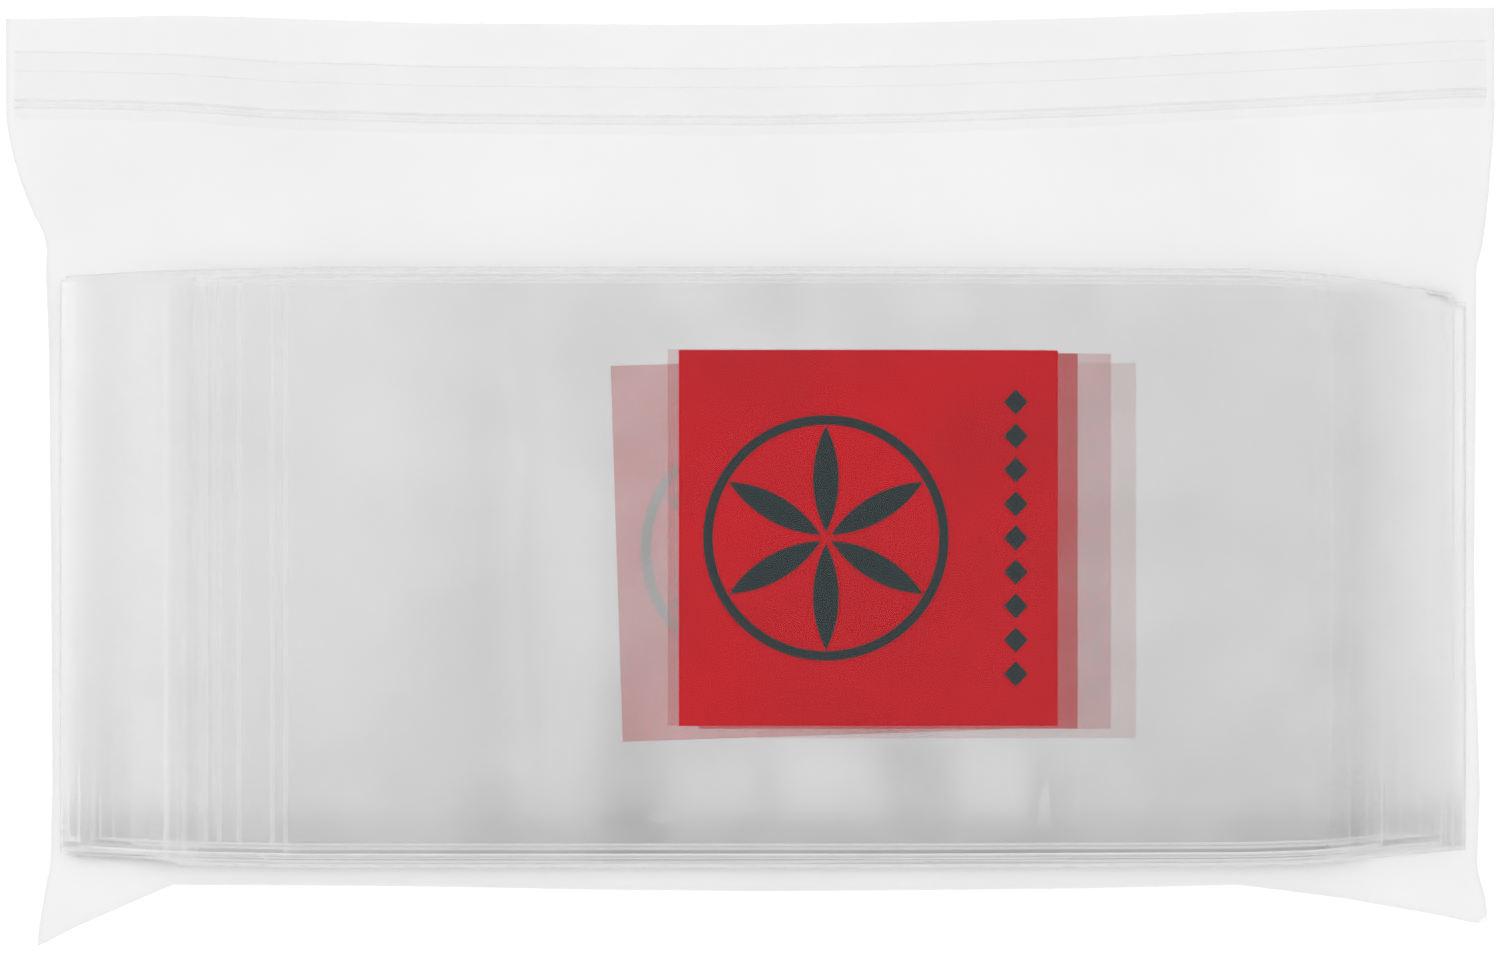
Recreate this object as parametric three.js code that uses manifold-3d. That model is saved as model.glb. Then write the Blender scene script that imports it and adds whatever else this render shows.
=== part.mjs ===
// A clear press-to-close bag, lying on its back, that holds a pile of flat printed zipper bags.
// Millimetres. +X runs along the mouth, +Y from the bottom fold to the mouth, +Z up from the surface.
import * as THREE from "three";
import { mergeVertices } from "three/addons/utils/BufferGeometryUtils.js";
import Module from "manifold-3d";

const wasm = await Module();
wasm.setup();

// Driving dimensions: the printed bags and the pile
const bagLength = 351;
const bagBreadth = 157;
const bagThickness = 0.2;
const bagsInAll = 100;
const layerAir = 0.03;
const drapeLength = 5;
const staggerStep = 1.8;

// Driving dimensions: the outer bag
const flareLeft = 12.8;
const flareRight = 5.6;
const lipHeight = 25;
const headroom = 43;
const foldReach = 10.5;
const foldRun = 3.6;
const sideReach = 2.2;
const filmWall = 0.1;
const sealWidth = 1;
const mouthCut = 4;
const fitGap = 0.3;
const endGap = 1.2;
const emptyGap = 0.5;
const seamHeight = 4;
const foldHeight = 7;
const foldRise = 40;
const earHeight = 1.2;
const earStart = 3;
const earEnd = 14;
const sagPower = 1.8;
const levelBelowZip = 6;
const openFrom = 25;
const openTo = 8;
const mouthWave = 1.6;
const mouthHalfWaves = 3;

// Driving dimensions: the closure's two strips
const flangeThickness = 0.15;
const flangeAbove = 13;
const flangeBelow = 3;
const closureWidth = 2.6;
const closureHeight = 1.5;
const channelWall = 0.45;
const ribStem = 0.5;
const runningGap = 0.2;

// A smooth curve through hand-set points, each [position, value].
// It stays between its points and is level beyond them.
function curveThrough(points) {
  const gaps = points.slice(1).map((p, i) => p[0] - points[i][0]);
  const slopes = gaps.map((gap, i) => (points[i + 1][1] - points[i][1]) / gap);
  const tangents = points.map((p, i) => {
    const [before, after] = [slopes[i - 1] ?? 0, slopes[i] ?? 0];
    return before * after > 0 ? (2 * before * after) / (before + after) : 0;
  });
  return (at) => {
    if (at <= points[0][0]) return points[0][1];
    const i = points.findIndex((p) => p[0] >= at) - 1;
    if (i < 0) return points.at(-1)[1];
    const t = (at - points[i][0]) / gaps[i];
    const rise = t * t * (3 - 2 * t);
    const lean = gaps[i] * t * (1 - t) * (tangents[i] * (1 - t) - tangents[i + 1] * t);
    return points[i][1] + (points[i + 1][1] - points[i][1]) * rise + lean;
  };
}

// Where the visible top bags lie, from the top down: steps along X, millimetres along Y, and turn as a slope.
const topBags = [
  { steps: 0, shiftY: 0, slope: 0 },
  { steps: -2, shiftY: 0.2, slope: -0.0006 },
  { steps: 3, shiftY: -0.8, slope: 0.0006 },
  { steps: -8, shiftY: -2.5, slope: 0.012 },
  { steps: 8, shiftY: -0.9, slope: 0.0008 },
  { steps: 10, shiftY: -3.4, slope: 0.0004 },
];

// The hidden bags below them lie in blocks, each a little out of line with the next.
const blockShifts = [
  { steps: -4, shiftY: -1.5, slope: 0.0015 },
  { steps: 6, shiftY: -3.6, slope: -0.002 },
  { steps: -7, shiftY: -0.6, slope: 0.001 },
  { steps: 9, shiftY: -4.8, slope: -0.003 },
  { steps: 1, shiftY: -2.4, slope: 0.002 },
  { steps: -8, shiftY: -3.2, slope: 0.0005 },
  { steps: 10, shiftY: -5.4, slope: -0.002 },
  { steps: 4, shiftY: -1.2, slope: 0.001 },
  { steps: -6, shiftY: -4.2, slope: -0.001 },
  { steps: 7, shiftY: -2.8, slope: 0.0015 },
];
const bagsInBlocks = bagsInAll - topBags.length;
const blockThickness = (bagThickness * bagsInBlocks) / blockShifts.length;

// The pile from the bottom up. Each layer has its place in plan and its own thickness.
const pile = [...blockShifts]
  .reverse()
  .map((place, i) => ({
    ...place,
    name: `bag_block_${String(i + 1).padStart(2, "0")}`,
    thickness: blockThickness,
  }))
  .concat(
    [...topBags].reverse().map((place, i) => ({
      ...place,
      name: `printed_bag_${String(topBags.length - i).padStart(2, "0")}`,
      thickness: bagThickness,
    })),
  );
for (const layer of pile) {
  layer.left = layer.steps * staggerStep - bagLength / 2;
  layer.right = layer.steps * staggerStep + bagLength / 2;
  layer.lowY = (x) => layer.shiftY + layer.slope * x;
}
const pileLeft = Math.min(...pile.map((layer) => layer.left));
const pileRight = Math.max(...pile.map((layer) => layer.right));
const pileLow = Math.min(...pile.flatMap((layer) => [layer.lowY(layer.left), layer.lowY(layer.right)]));
const pileHigh = bagBreadth + Math.max(
  ...pile.flatMap((layer) => [layer.lowY(layer.left), layer.lowY(layer.right)]),
);
const pileBase = filmWall + fitGap;

// How much of a layer's thickness lies under X: all of it inside its ends, then less over the drape beyond.
function cover(layer, x) {
  const beyond = Math.max(layer.left - x, x - layer.right, 0);
  return Math.max(1 - beyond / drapeLength, 0);
}

// The height that a layer rests at, on what lies below it.
function restHeight(level, x) {
  let height = pileBase;
  for (const below of pile.slice(0, level)) {
    height += (below.thickness + layerAir) * cover(below, x);
  }
  return height;
}
const pileTop = (x) => restHeight(pile.length, x);

// Every X where the pile's surfaces bend, so that all layers share the same straight stretches.
const bends = [
  ...new Set(
    pile
      .flatMap((layer) => [layer.left - drapeLength, layer.left, layer.right, layer.right + drapeLength])
      .map((x) => x.toFixed(3)),
  ),
]
  .map(Number)
  .sort((a, b) => a - b);

// The outer bag's outline in plan. The film follows the pile, spreads to its flat width at the mouth,
// and wanders a little on the way. Each line is a list of [place along it, place across it].
const bodyLeft = pileLeft - sideReach;
const bodyRight = pileRight + sideReach;
const mouthLeft = bodyLeft - flareLeft;
const mouthRight = bodyRight + flareRight;
const mouthWidth = mouthRight - mouthLeft;
const zipLine = pileHigh + headroom;
const leftSeam = curveThrough([
  [pileLow - 22, bodyLeft - 4.2],
  [pileLow - 6, bodyLeft - 1.8],
  [pileLow + 5, bodyLeft],
  [bagBreadth * 0.6, bodyLeft - 0.5],
  [bagBreadth - 8, bodyLeft - 1.2],
  [pileHigh + 1, bodyLeft - 1.8],
  [pileHigh + 7, bodyLeft - 1.2],
  [pileHigh + 13, bodyLeft - flareLeft * 0.35],
  [zipLine - 12, mouthLeft + flareLeft * 0.15],
  [zipLine, mouthLeft],
  [zipLine + lipHeight, mouthLeft],
]);
const rightSeam = curveThrough([
  [pileLow - 16, bodyRight + 3.8],
  [pileLow - 9, bodyRight + 3.2],
  [pileLow, bodyRight + 0.8],
  [pileLow + 15, bodyRight + 1.6],
  [bagBreadth * 0.45, bodyRight],
  [bagBreadth - 12, bodyRight + 0.6],
  [pileHigh - 4, bodyRight],
  [pileHigh + 6, bodyRight + flareRight * 0.4],
  [zipLine - 20, bodyRight + flareRight * 0.75],
  [zipLine, mouthRight],
  [zipLine + lipHeight, mouthRight],
]);
const foldLine = curveThrough([
  [bodyLeft - 4, pileLow - 22],
  [bodyLeft - 1, pileLow - 20.5],
  [bodyLeft + 21, pileLow - 9],
  [bodyLeft + 29, pileLow - foldReach + 5.4],
  [bodyLeft + mouthWidth * 0.3, pileLow - foldReach + 4.8],
  [bodyLeft + mouthWidth * 0.42, pileLow - foldReach + 3.6],
  [bodyRight - mouthWidth * 0.3, pileLow - foldReach + 4.2],
  [bodyRight - 52, pileLow - foldReach + 5.5],
  [bodyRight - 35, pileLow - foldReach + 1.6],
  [bodyRight - 10, pileLow - 13.5],
  [bodyRight + 3, pileLow - 15.8],
]);
const alongMouth = (offset, points) =>
  curveThrough(points.map(([part, value]) => [mouthLeft + mouthWidth * part, zipLine + offset + value]));
const zipCurve = alongMouth(0, [
  [0, 2],
  [0.1, 1.4],
  [0.23, -1.8],
  [0.5, -2.6],
  [0.62, -1.8],
  [0.87, 2.6],
  [1, 5],
]);
const lipCurve = alongMouth(lipHeight, [
  [0, 0],
  [0.13, 1],
  [0.25, -1.2],
  [0.5, -1.6],
  [0.7, 0],
  [0.9, 2.6],
  [1, 3],
]);

// How far a point lies beyond the pile: 0 on the pile, 1 where the two films meet at the seam or the fold.
function wayOut(x, y) {
  const left = (pileLeft - x) / Math.max(pileLeft - leftSeam(y) - sealWidth, sealWidth);
  const right = (x - pileRight) / Math.max(rightSeam(y) - sealWidth - pileRight, sealWidth);
  const below = (pileLow - y) / foldRun;
  return THREE.MathUtils.clamp(Math.max(left, right, below), 0, 1);
}

// Share of the way from the pile's upper edge to the level film below the closure.
const wayUp = (y) => THREE.MathUtils.clamp((y - pileHigh) / (headroom - levelBelowZip), 0, 1);

// The height of the seam between the two films: at the sides, along the fold, in the ears and by the mouth.
function seamLevel(x, y) {
  const ear = THREE.MathUtils.smoothstep(pileLow - y, earStart, earEnd);
  const fold = THREE.MathUtils.smoothstep(Math.min(x - bodyLeft, bodyRight - x), 0, foldRise);
  const atFold = THREE.MathUtils.lerp(seamHeight, foldHeight, fold);
  const atSide = y < pileLow ? THREE.MathUtils.lerp(atFold, earHeight, ear) : seamHeight;
  return THREE.MathUtils.lerp(atSide, mouthLevel(x), wayUp(y));
}

// The closure rides a little above the surface, in one long wave.
const closureSpan = closureHeight + 2 * flangeThickness + 2 * fitGap;
function mouthLevel(x) {
  const wave = (1 - Math.cos((mouthHalfWaves * Math.PI * (x - mouthLeft)) / mouthWidth)) / 2;
  return filmWall + closureSpan / 2 + mouthWave * wave;
}

// Half of the space between the two films in the empty part of the bag: it opens to hold the closure.
function halfSpace(y) {
  const open = THREE.MathUtils.smoothstep(y, zipLine - openFrom, zipLine - openTo);
  return THREE.MathUtils.lerp(emptyGap, closureSpan, open) / 2;
}

// The upper film is stretched over the pile: in section it is the straight-sided hull of the pile's top.
const crownPoints = [];
for (const x of [pileLeft, ...bends.filter((at) => at > pileLeft && at < pileRight), pileRight]) {
  const point = [x, pileTop(x)];
  const turn = ([ax, az], [bx, bz]) => (bx - ax) * (point[1] - az) - (bz - az) * (point[0] - ax);
  while (crownPoints.length > 1 && turn(crownPoints.at(-2), crownPoints.at(-1)) >= 0) crownPoints.pop();
  crownPoints.push(point);
}
function pileCrown(x) {
  const next = Math.max(crownPoints.findIndex((point) => point[0] >= x), 1);
  const [from, to] = x >= pileRight ? crownPoints.slice(-2) : crownPoints.slice(next - 1, next + 1);
  const at = THREE.MathUtils.clamp((x - from[0]) / (to[0] - from[0]), 0, 1);
  return THREE.MathUtils.lerp(from[1], to[1], at) + fitGap;
}

// The films' inner faces over a point. The upper one clears the pile, falls to the seams and sags to the mouth.
function frontFilm(x, y) {
  const out = wayOut(x, y);
  const seam = seamLevel(x, y) + halfSpace(y);
  const over = THREE.MathUtils.lerp(pileCrown(x), seam, 1 - (1 - wayUp(y)) ** sagPower);
  return THREE.MathUtils.lerp(Math.max(over, seam), seam, out);
}
function backFilm(x, y) {
  const out = wayOut(x, y);
  const seam = seamLevel(x, y) - halfSpace(y);
  const under = THREE.MathUtils.lerp(filmWall, mouthLevel(x) - halfSpace(y), wayUp(y));
  return THREE.MathUtils.lerp(Math.min(under, seam), Math.max(seam, filmWall), out);
}

// Grid lines over the outer bag. Each is [zone, share of the way across the zone].
function shares(zone, count) {
  return Array.from({ length: count }, (_, i) => [zone, i / count]);
}
const crownLines = crownPoints.map((point) => point[0]);
const flatLines = [-3, -2, -1, 0, 1, 2, 3].map((i) => (bagLength * i) / 8);
const pileLines = [...crownLines, ...flatLines]
  .sort((a, b) => a - b)
  .map((x) => [2, (x - pileLeft) / (pileRight - pileLeft)]);
const columns = [...shares(0, 1), ...shares(1, 3), ...pileLines, ...shares(3, 3).slice(1), [4, 0], [4, 1]];
const rows = [...shares(0, 1), ...shares(1, 4), ...shares(2, 8), ...shares(3, 9), ...shares(4, 4), [5, 0]];
const mouthRow = [5, 1];

// Point in plan where a column and a row cross, both drawn in from the outline by an inset.
function planPoint([side, across], [level, along], inset = 0) {
  let x = 0;
  let y = 0;
  for (let pass = 0; pass < 8; pass++) {
    const fold = foldLine(x);
    const lip = lipCurve(x);
    const hem = fold + Math.max(inset, sealWidth);
    const levels = [fold + inset, hem, pileLow, pileHigh, zipCurve(x), lip, lip + mouthCut];
    y = THREE.MathUtils.lerp(levels[level], levels[level + 1], along);
    const left = leftSeam(y);
    const right = rightSeam(y);
    const welds = [left + Math.max(inset, sealWidth), right - Math.max(inset, sealWidth)];
    const sides = [left + inset, welds[0], pileLeft, pileRight, welds[1], right - inset];
    x = THREE.MathUtils.lerp(sides[side], sides[side + 1], across);
  }
  return [x, y];
}

// A closed body between an upper and a lower face over a grid of plan points.
function bodyBetween(columns, rows, plan, upper, lower) {
  const positions = [];
  const index = [];
  for (const height of [upper, lower]) {
    for (const row of rows) {
      for (const column of columns) {
        const [x, y] = plan(column, row);
        positions.push(x, y, height(x, y));
      }
    }
  }
  const wide = columns.length;
  const layer = wide * rows.length;
  const at = (i, j, level) => level * layer + j * wide + i;
  const quad = (a, b, c, d) => index.push(a, b, c, a, c, d);
  for (let j = 0; j + 1 < rows.length; j++) {
    for (let i = 0; i + 1 < wide; i++) {
      quad(at(i, j, 0), at(i + 1, j, 0), at(i + 1, j + 1, 0), at(i, j + 1, 0));
      quad(at(i, j, 1), at(i, j + 1, 1), at(i + 1, j + 1, 1), at(i + 1, j, 1));
    }
  }
  const end = rows.length - 1;
  for (let i = 0; i + 1 < wide; i++) {
    quad(at(i, 0, 1), at(i + 1, 0, 1), at(i + 1, 0, 0), at(i, 0, 0));
    quad(at(i, end, 0), at(i + 1, end, 0), at(i + 1, end, 1), at(i, end, 1));
  }
  for (let j = 0; j < end; j++) {
    quad(at(0, j, 0), at(0, j + 1, 0), at(0, j + 1, 1), at(0, j, 1));
    quad(at(wide - 1, j, 1), at(wide - 1, j + 1, 1), at(wide - 1, j + 1, 0), at(wide - 1, j, 0));
  }
  const geometry = new THREE.BufferGeometry();
  geometry.setAttribute("position", new THREE.Float32BufferAttribute(positions, 3));
  geometry.setIndex(index);
  return geometry;
}

// A strip of one section, [y, z] points, carried along a path of points.
function strip(section, path) {
  const positions = [];
  const index = [];
  for (const [x, y, z] of path) {
    for (const [dy, dz] of section) positions.push(x, y + dy, z + dz);
  }
  const sides = section.length;
  for (let k = 0; k + 1 < path.length; k++) {
    for (let i = 0; i < sides; i++) {
      const next = (i + 1) % sides;
      const [a, b] = [k * sides + i, k * sides + next];
      index.push(a, b, b + sides, a, b + sides, a + sides);
    }
  }
  const contour = section.map(([y, z]) => new THREE.Vector2(y, z));
  const last = (path.length - 1) * sides;
  for (const [a, b, c] of THREE.ShapeUtils.triangulateShape(contour, [])) {
    index.push(c, b, a, last + a, last + b, last + c);
  }
  const geometry = new THREE.BufferGeometry();
  geometry.setAttribute("position", new THREE.Float32BufferAttribute(positions, 3));
  geometry.setIndex(index);
  return geometry;
}

// Boolean cut of one closed geometry by another.
function solid(geometry) {
  const merged = mergeVertices(geometry, 1e-4);
  return new wasm.Manifold(
    new wasm.Mesh({
      numProp: 3,
      vertProperties: merged.attributes.position.array,
      triVerts: new Uint32Array(merged.index.array),
    }),
  );
}
function cut(whole, tool) {
  const result = solid(whole).subtract(solid(tool)).getMesh();
  const geometry = new THREE.BufferGeometry();
  geometry.setAttribute("position", new THREE.BufferAttribute(result.vertProperties, 3));
  geometry.setIndex(new THREE.BufferAttribute(result.triVerts, 1));
  return geometry;
}

const part = new THREE.Group();
function add(name, geometry, finish) {
  const material = new THREE.MeshStandardMaterial({ metalness: 0, ...finish });
  const mesh = new THREE.Mesh(geometry, material);
  mesh.name = name;
  part.add(mesh);
  return mesh;
}

// Outer bag: one film, folded along the bottom and welded up both sides, open at the lips.
// Its wall is kept true on the slopes by lifting the outer face with the slope under it.
const slopeStep = 0.5;
function wall(height, x, y) {
  const alongX = (height(x + slopeStep, y) - height(x - slopeStep, y)) / (2 * slopeStep);
  const alongY = (height(x, y + slopeStep) - height(x, y - slopeStep)) / (2 * slopeStep);
  return filmWall * Math.min(Math.hypot(1, alongX, alongY), 4);
}
const outerTop = (x, y) => frontFilm(x, y) + wall(frontFilm, x, y);
const outerBottom = (x, y) => Math.max(backFilm(x, y) - wall(backFilm, x, y), 0);
const envelope = bodyBetween(columns, rows, planPoint, outerTop, outerBottom);
const hollow = bodyBetween(columns.slice(1, -1), [...rows.slice(1), mouthRow], planPoint, frontFilm, backFilm);
add("outer_bag", cut(envelope, hollow), {
  color: 0xf0f0f0,
  roughness: 0.35,
  transparent: true,
  opacity: 0.4,
});

// Closure: a channel on the lower film and a rib on the upper one, both along the whole mouth.
const closureStations = columns.slice(1, -1).map((column) => planPoint(column, [4, 0], sealWidth + endGap));
const closurePath = closureStations.map(([x, y]) => [x, y, mouthLevel(x)]);
const low = -closureSpan / 2 + fitGap;
const high = -low;
const half = closureWidth / 2;
const channelRoom = half - channelWall;
const channelTop = high - flangeThickness - runningGap;
const channelSection = [
  [-half - flangeBelow, low],
  [half + flangeAbove, low],
  [half + flangeAbove, low + flangeThickness],
  [half, low + flangeThickness],
  [half, channelTop],
  [channelRoom, channelTop],
  [channelRoom, low + flangeThickness],
  [-channelRoom, low + flangeThickness],
  [-channelRoom, channelTop],
  [-half, channelTop],
  [-half, low + flangeThickness],
  [-half - flangeBelow, low + flangeThickness],
];
const ribBottom = low + flangeThickness + runningGap;
const ribHead = channelRoom - runningGap;
const ribSection = [
  [-half - flangeBelow, high - flangeThickness],
  [-ribStem / 2, high - flangeThickness],
  [-ribStem / 2, ribBottom + 0.5],
  [-ribHead, ribBottom + 0.35],
  [-ribHead / 2, ribBottom],
  [ribHead / 2, ribBottom],
  [ribHead, ribBottom + 0.35],
  [ribStem / 2, ribBottom + 0.5],
  [ribStem / 2, high - flangeThickness],
  [half + flangeAbove, high - flangeThickness],
  [half + flangeAbove, high],
  [-half - flangeBelow, high],
];
add("zipper_channel", strip(channelSection, closurePath), { color: 0xe9e9e9, roughness: 0.4 });
add("zipper_rib", strip(ribSection, closurePath), { color: 0xe9e9e9, roughness: 0.4 });

// The pile: each layer is a flat body that drapes over the ends of those below it.
pile.forEach((layer, level) => {
  const lines = [layer.left, ...bends.filter((x) => x > layer.left && x < layer.right), layer.right];
  const plan = (x, v) => [x, layer.lowY(x) + bagBreadth * v];
  const lower = (x) => restHeight(level, x);
  const upper = (x) => restHeight(level, x) + layer.thickness;
  const printed = layer.name.startsWith("printed");
  add(layer.name, bodyBetween(lines, [0, 1], plan, upper, lower), {
    color: printed ? 0xd9d9d9 : 0xcfcfcf,
    roughness: 0.5,
  });
});

// The origin is under the middle of the whole, on the surface that it lies on.
const extent = new THREE.Box3().setFromObject(part);
const middle = extent.getCenter(new THREE.Vector3());
part.position.set(-middle.x, -middle.y, -extent.min.z);

export default part;
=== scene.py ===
# %% [markdown]
# # A clear zipper bag full of printed zipper bags
#
# The object is a pack as it comes off a shelf: one press-to-close bag of clear film, and in it a
# pile of about a hundred flat bags of the same film, each with a red panel printed on it. Nearly
# everything here is thin and see-through, so the lesson is about film: how to shape it, how to
# stack it, and how to give it a haze that adds up layer by layer.
#
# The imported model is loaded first. It is the frame that every piece is fitted to.

import math

import bmesh
import bpy
import numpy as np
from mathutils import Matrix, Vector, noise
from mathutils.bvhtree import BVHTree


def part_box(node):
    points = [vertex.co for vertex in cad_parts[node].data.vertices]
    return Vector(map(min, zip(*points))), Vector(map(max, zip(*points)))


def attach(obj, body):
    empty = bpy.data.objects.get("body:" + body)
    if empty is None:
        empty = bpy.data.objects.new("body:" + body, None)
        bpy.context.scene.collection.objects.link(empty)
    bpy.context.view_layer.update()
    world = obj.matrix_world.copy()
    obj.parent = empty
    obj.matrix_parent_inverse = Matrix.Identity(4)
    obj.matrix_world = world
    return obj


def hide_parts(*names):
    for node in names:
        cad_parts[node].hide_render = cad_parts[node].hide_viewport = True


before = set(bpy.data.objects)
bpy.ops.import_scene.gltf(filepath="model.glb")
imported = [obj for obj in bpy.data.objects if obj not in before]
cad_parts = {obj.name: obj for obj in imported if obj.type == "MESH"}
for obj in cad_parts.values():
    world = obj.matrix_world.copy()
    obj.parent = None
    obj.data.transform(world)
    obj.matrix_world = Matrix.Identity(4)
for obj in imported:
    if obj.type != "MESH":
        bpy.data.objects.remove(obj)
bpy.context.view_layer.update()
scene = bpy.context.scene
MM = 0.001

# %% [markdown]
# ## Where the camera stands
#
# The pack was photographed from straight above. A long lens far away keeps its upright sides out
# of the picture, as the photographer's did. One pixel of the picture is 0.272 mm on the floor.

# %% Camera
PIXEL = 0.272 * MM
PICTURE_WIDTH = 1500
PICTURE_CENTRE_Y = -0.3 * MM
CAMERA_HEIGHT = 3.0
SENSOR = 36.0

camera_data = bpy.data.cameras.new("camera")
camera_data.sensor_width = SENSOR
camera_data.lens = SENSOR * (CAMERA_HEIGHT - 12 * MM) / (PICTURE_WIDTH * PIXEL)
camera_data.clip_end = 20
camera = bpy.data.objects.new("camera", camera_data)
camera.location = (0, PICTURE_CENTRE_Y, CAMERA_HEIGHT)
scene.collection.objects.link(camera)
scene.camera = camera
print("lens:", round(camera_data.lens, 1), "mm")

# %% [markdown]
# ## Floor and light
#
# Clear film has hardly a colour of its own. It shows by what it takes from the white behind it, so
# the floor is brighter than the film can be. The light is a white tent: bright walls all round, more
# so at the left, and a dim top, where the camera looks in. Flat film mirrors the dim top, so the ink
# under it keeps its depth, and a fold that leans mirrors a wall and shows as a pale glint.

# %% A helper for materials, and the floor
FLOOR_WHITE = 0.93
FLOOR_HALF_WIDTH = 3


def new_material(name):
    """A material with its Principled shader, ready for nodes."""
    material = bpy.data.materials.new(name)
    material.use_nodes = True
    tree = material.node_tree
    shader = next(node for node in tree.nodes if node.type == "BSDF_PRINCIPLED")
    return material, tree, shader


def add_floor():
    """A wide pale floor under the pack."""
    material, _, shader = new_material("white_floor")
    shader.inputs["Base Color"].default_value = (FLOOR_WHITE, FLOOR_WHITE, FLOOR_WHITE, 1)
    shader.inputs["Roughness"].default_value = 0.9
    shader.inputs["Specular IOR Level"].default_value = 0.1
    mesh = bpy.data.meshes.new("floor")
    bm = bmesh.new()
    bmesh.ops.create_grid(bm, x_segments=1, y_segments=1, size=FLOOR_HALF_WIDTH)
    bm.to_mesh(mesh)
    bm.free()
    mesh.materials.append(material)
    floor = bpy.data.objects.new("floor", mesh)
    scene.collection.objects.link(floor)


add_floor()
print("floor laid")

# %% The white surroundings
WALL_LIGHT = 1.54
OVERHEAD_LIGHT = 0.25
DIMMING_STARTS = 0.72
DIMMING_ENDS = 0.97
SIDE_SLANT = 0.2
RANGE_SOCKETS = ("From Min", "From Max", "To Min", "To Max")

world = bpy.data.worlds.new("studio")
world.use_nodes = True
links = world.node_tree.links
background = world.node_tree.nodes["Background"]
background.inputs["Color"].default_value = (1, 1, 1, 1)
sky = world.node_tree.nodes.new("ShaderNodeTexCoord")
toward = world.node_tree.nodes.new("ShaderNodeSeparateXYZ")
links.new(sky.outputs["Generated"], toward.inputs["Vector"])
dimming = world.node_tree.nodes.new("ShaderNodeMapRange")
dimming.interpolation_type = "SMOOTHSTEP"
dimming_range = (DIMMING_STARTS, DIMMING_ENDS, WALL_LIGHT, OVERHEAD_LIGHT)
for socket, value in zip(RANGE_SOCKETS, dimming_range):
    dimming.inputs[socket].default_value = value
links.new(toward.outputs["Z"], dimming.inputs["Value"])
slant = world.node_tree.nodes.new("ShaderNodeMapRange")
for socket, value in zip(RANGE_SOCKETS, (-1, 1, 1 + SIDE_SLANT, 1 - SIDE_SLANT)):
    slant.inputs[socket].default_value = value
links.new(toward.outputs["X"], slant.inputs["Value"])
both = world.node_tree.nodes.new("ShaderNodeMath")
both.operation = "MULTIPLY"
links.new(dimming.outputs["Result"], both.inputs[0])
links.new(slant.outputs["Result"], both.inputs[1])
links.new(both.outputs["Value"], background.inputs["Strength"])
world.cycles.sampling_method = "NONE"
scene.world = world
scene.view_settings.view_transform = "Standard"
scene.cycles.transparent_max_bounces = 24
scene.cycles.max_bounces = 4
scene.cycles.diffuse_bounces = 2
print("surroundings set")

# %% [markdown]
# ## Reading the pile off the frame
#
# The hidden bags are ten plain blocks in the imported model, and the six on top are bags of their
# own. Each block's box says where its bags lie. The pitch is the whole height shared by all.

# %% The pile's layers
BAGS_IN_ALL = 100
BLOCKS = sorted(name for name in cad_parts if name.startswith("bag_block"))
TOPS = sorted((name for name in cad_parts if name.startswith("printed_bag")), reverse=True)
PILE_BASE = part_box(BLOCKS[0])[0][2]
PILE_TOP = max(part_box(name)[1][2] for name in TOPS)
PITCH = (PILE_TOP - PILE_BASE) / BAGS_IN_ALL
PILE_LEFT = min(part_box(name)[0][0] for name in BLOCKS + TOPS)
PILE_RIGHT = max(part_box(name)[1][0] for name in BLOCKS + TOPS)
DRAPE = 5 * MM
BLOCK_SPREAD = 2.5 * MM
SPREAD_ALONG = 0.4
rng = np.random.default_rng(7)


def layers_of(name, count, spread):
    """Plan places of a node's bags, from the bottom up: left, right, low and high edge."""
    low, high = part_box(name)
    places = []
    for _ in range(count):
        shift_x = rng.uniform(-spread, spread)
        shift_y = rng.uniform(-spread, spread) * SPREAD_ALONG
        left = max(low[0] + shift_x, PILE_LEFT)
        right = min(high[0] + shift_x, PILE_RIGHT)
        places.append((name, left, right, low[1] + shift_y, high[1] + shift_y))
    return places


in_blocks = BAGS_IN_ALL - len(TOPS)
layers = []
for i, name in enumerate(BLOCKS):
    share = in_blocks * (i + 1) // len(BLOCKS) - in_blocks * i // len(BLOCKS)
    layers += layers_of(name, share, BLOCK_SPREAD)
for name in TOPS:
    layers += layers_of(name, 1, 0)
places = np.array([layer[1:] for layer in layers])
print("bags:", len(layers), "pitch:", round(PITCH / MM, 3), "mm")

# %% [markdown]
# ## How each bag rests on those below
#
# A bag is limp, so beyond the edge of the bag under it, it drops within a few millimetres. The
# height of any point is the sum of what lies below it, each layer counted in full inside its edges
# and fading over the drape outside. The sum is worked out for all points of a bag at once. Nothing
# keeps neighbouring sheets apart once the waves and creases are added, so some of their faces cross.

# %% Heights and the slow waves of the pile
def resting_height(level, x, y):
    """Height of points on layer number level, from the layers under it."""
    left, right, low, high = (places[:level, i][:, None] for i in range(4))
    beyond_x = np.maximum(np.maximum(left - x, x - right), 0)
    beyond_y = np.maximum(np.maximum(low - y, y - high), 0)
    cover = np.clip(1 - np.hypot(beyond_x, beyond_y) / DRAPE, 0, 1)
    return PILE_BASE + PITCH * cover.sum(axis=0)


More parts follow.
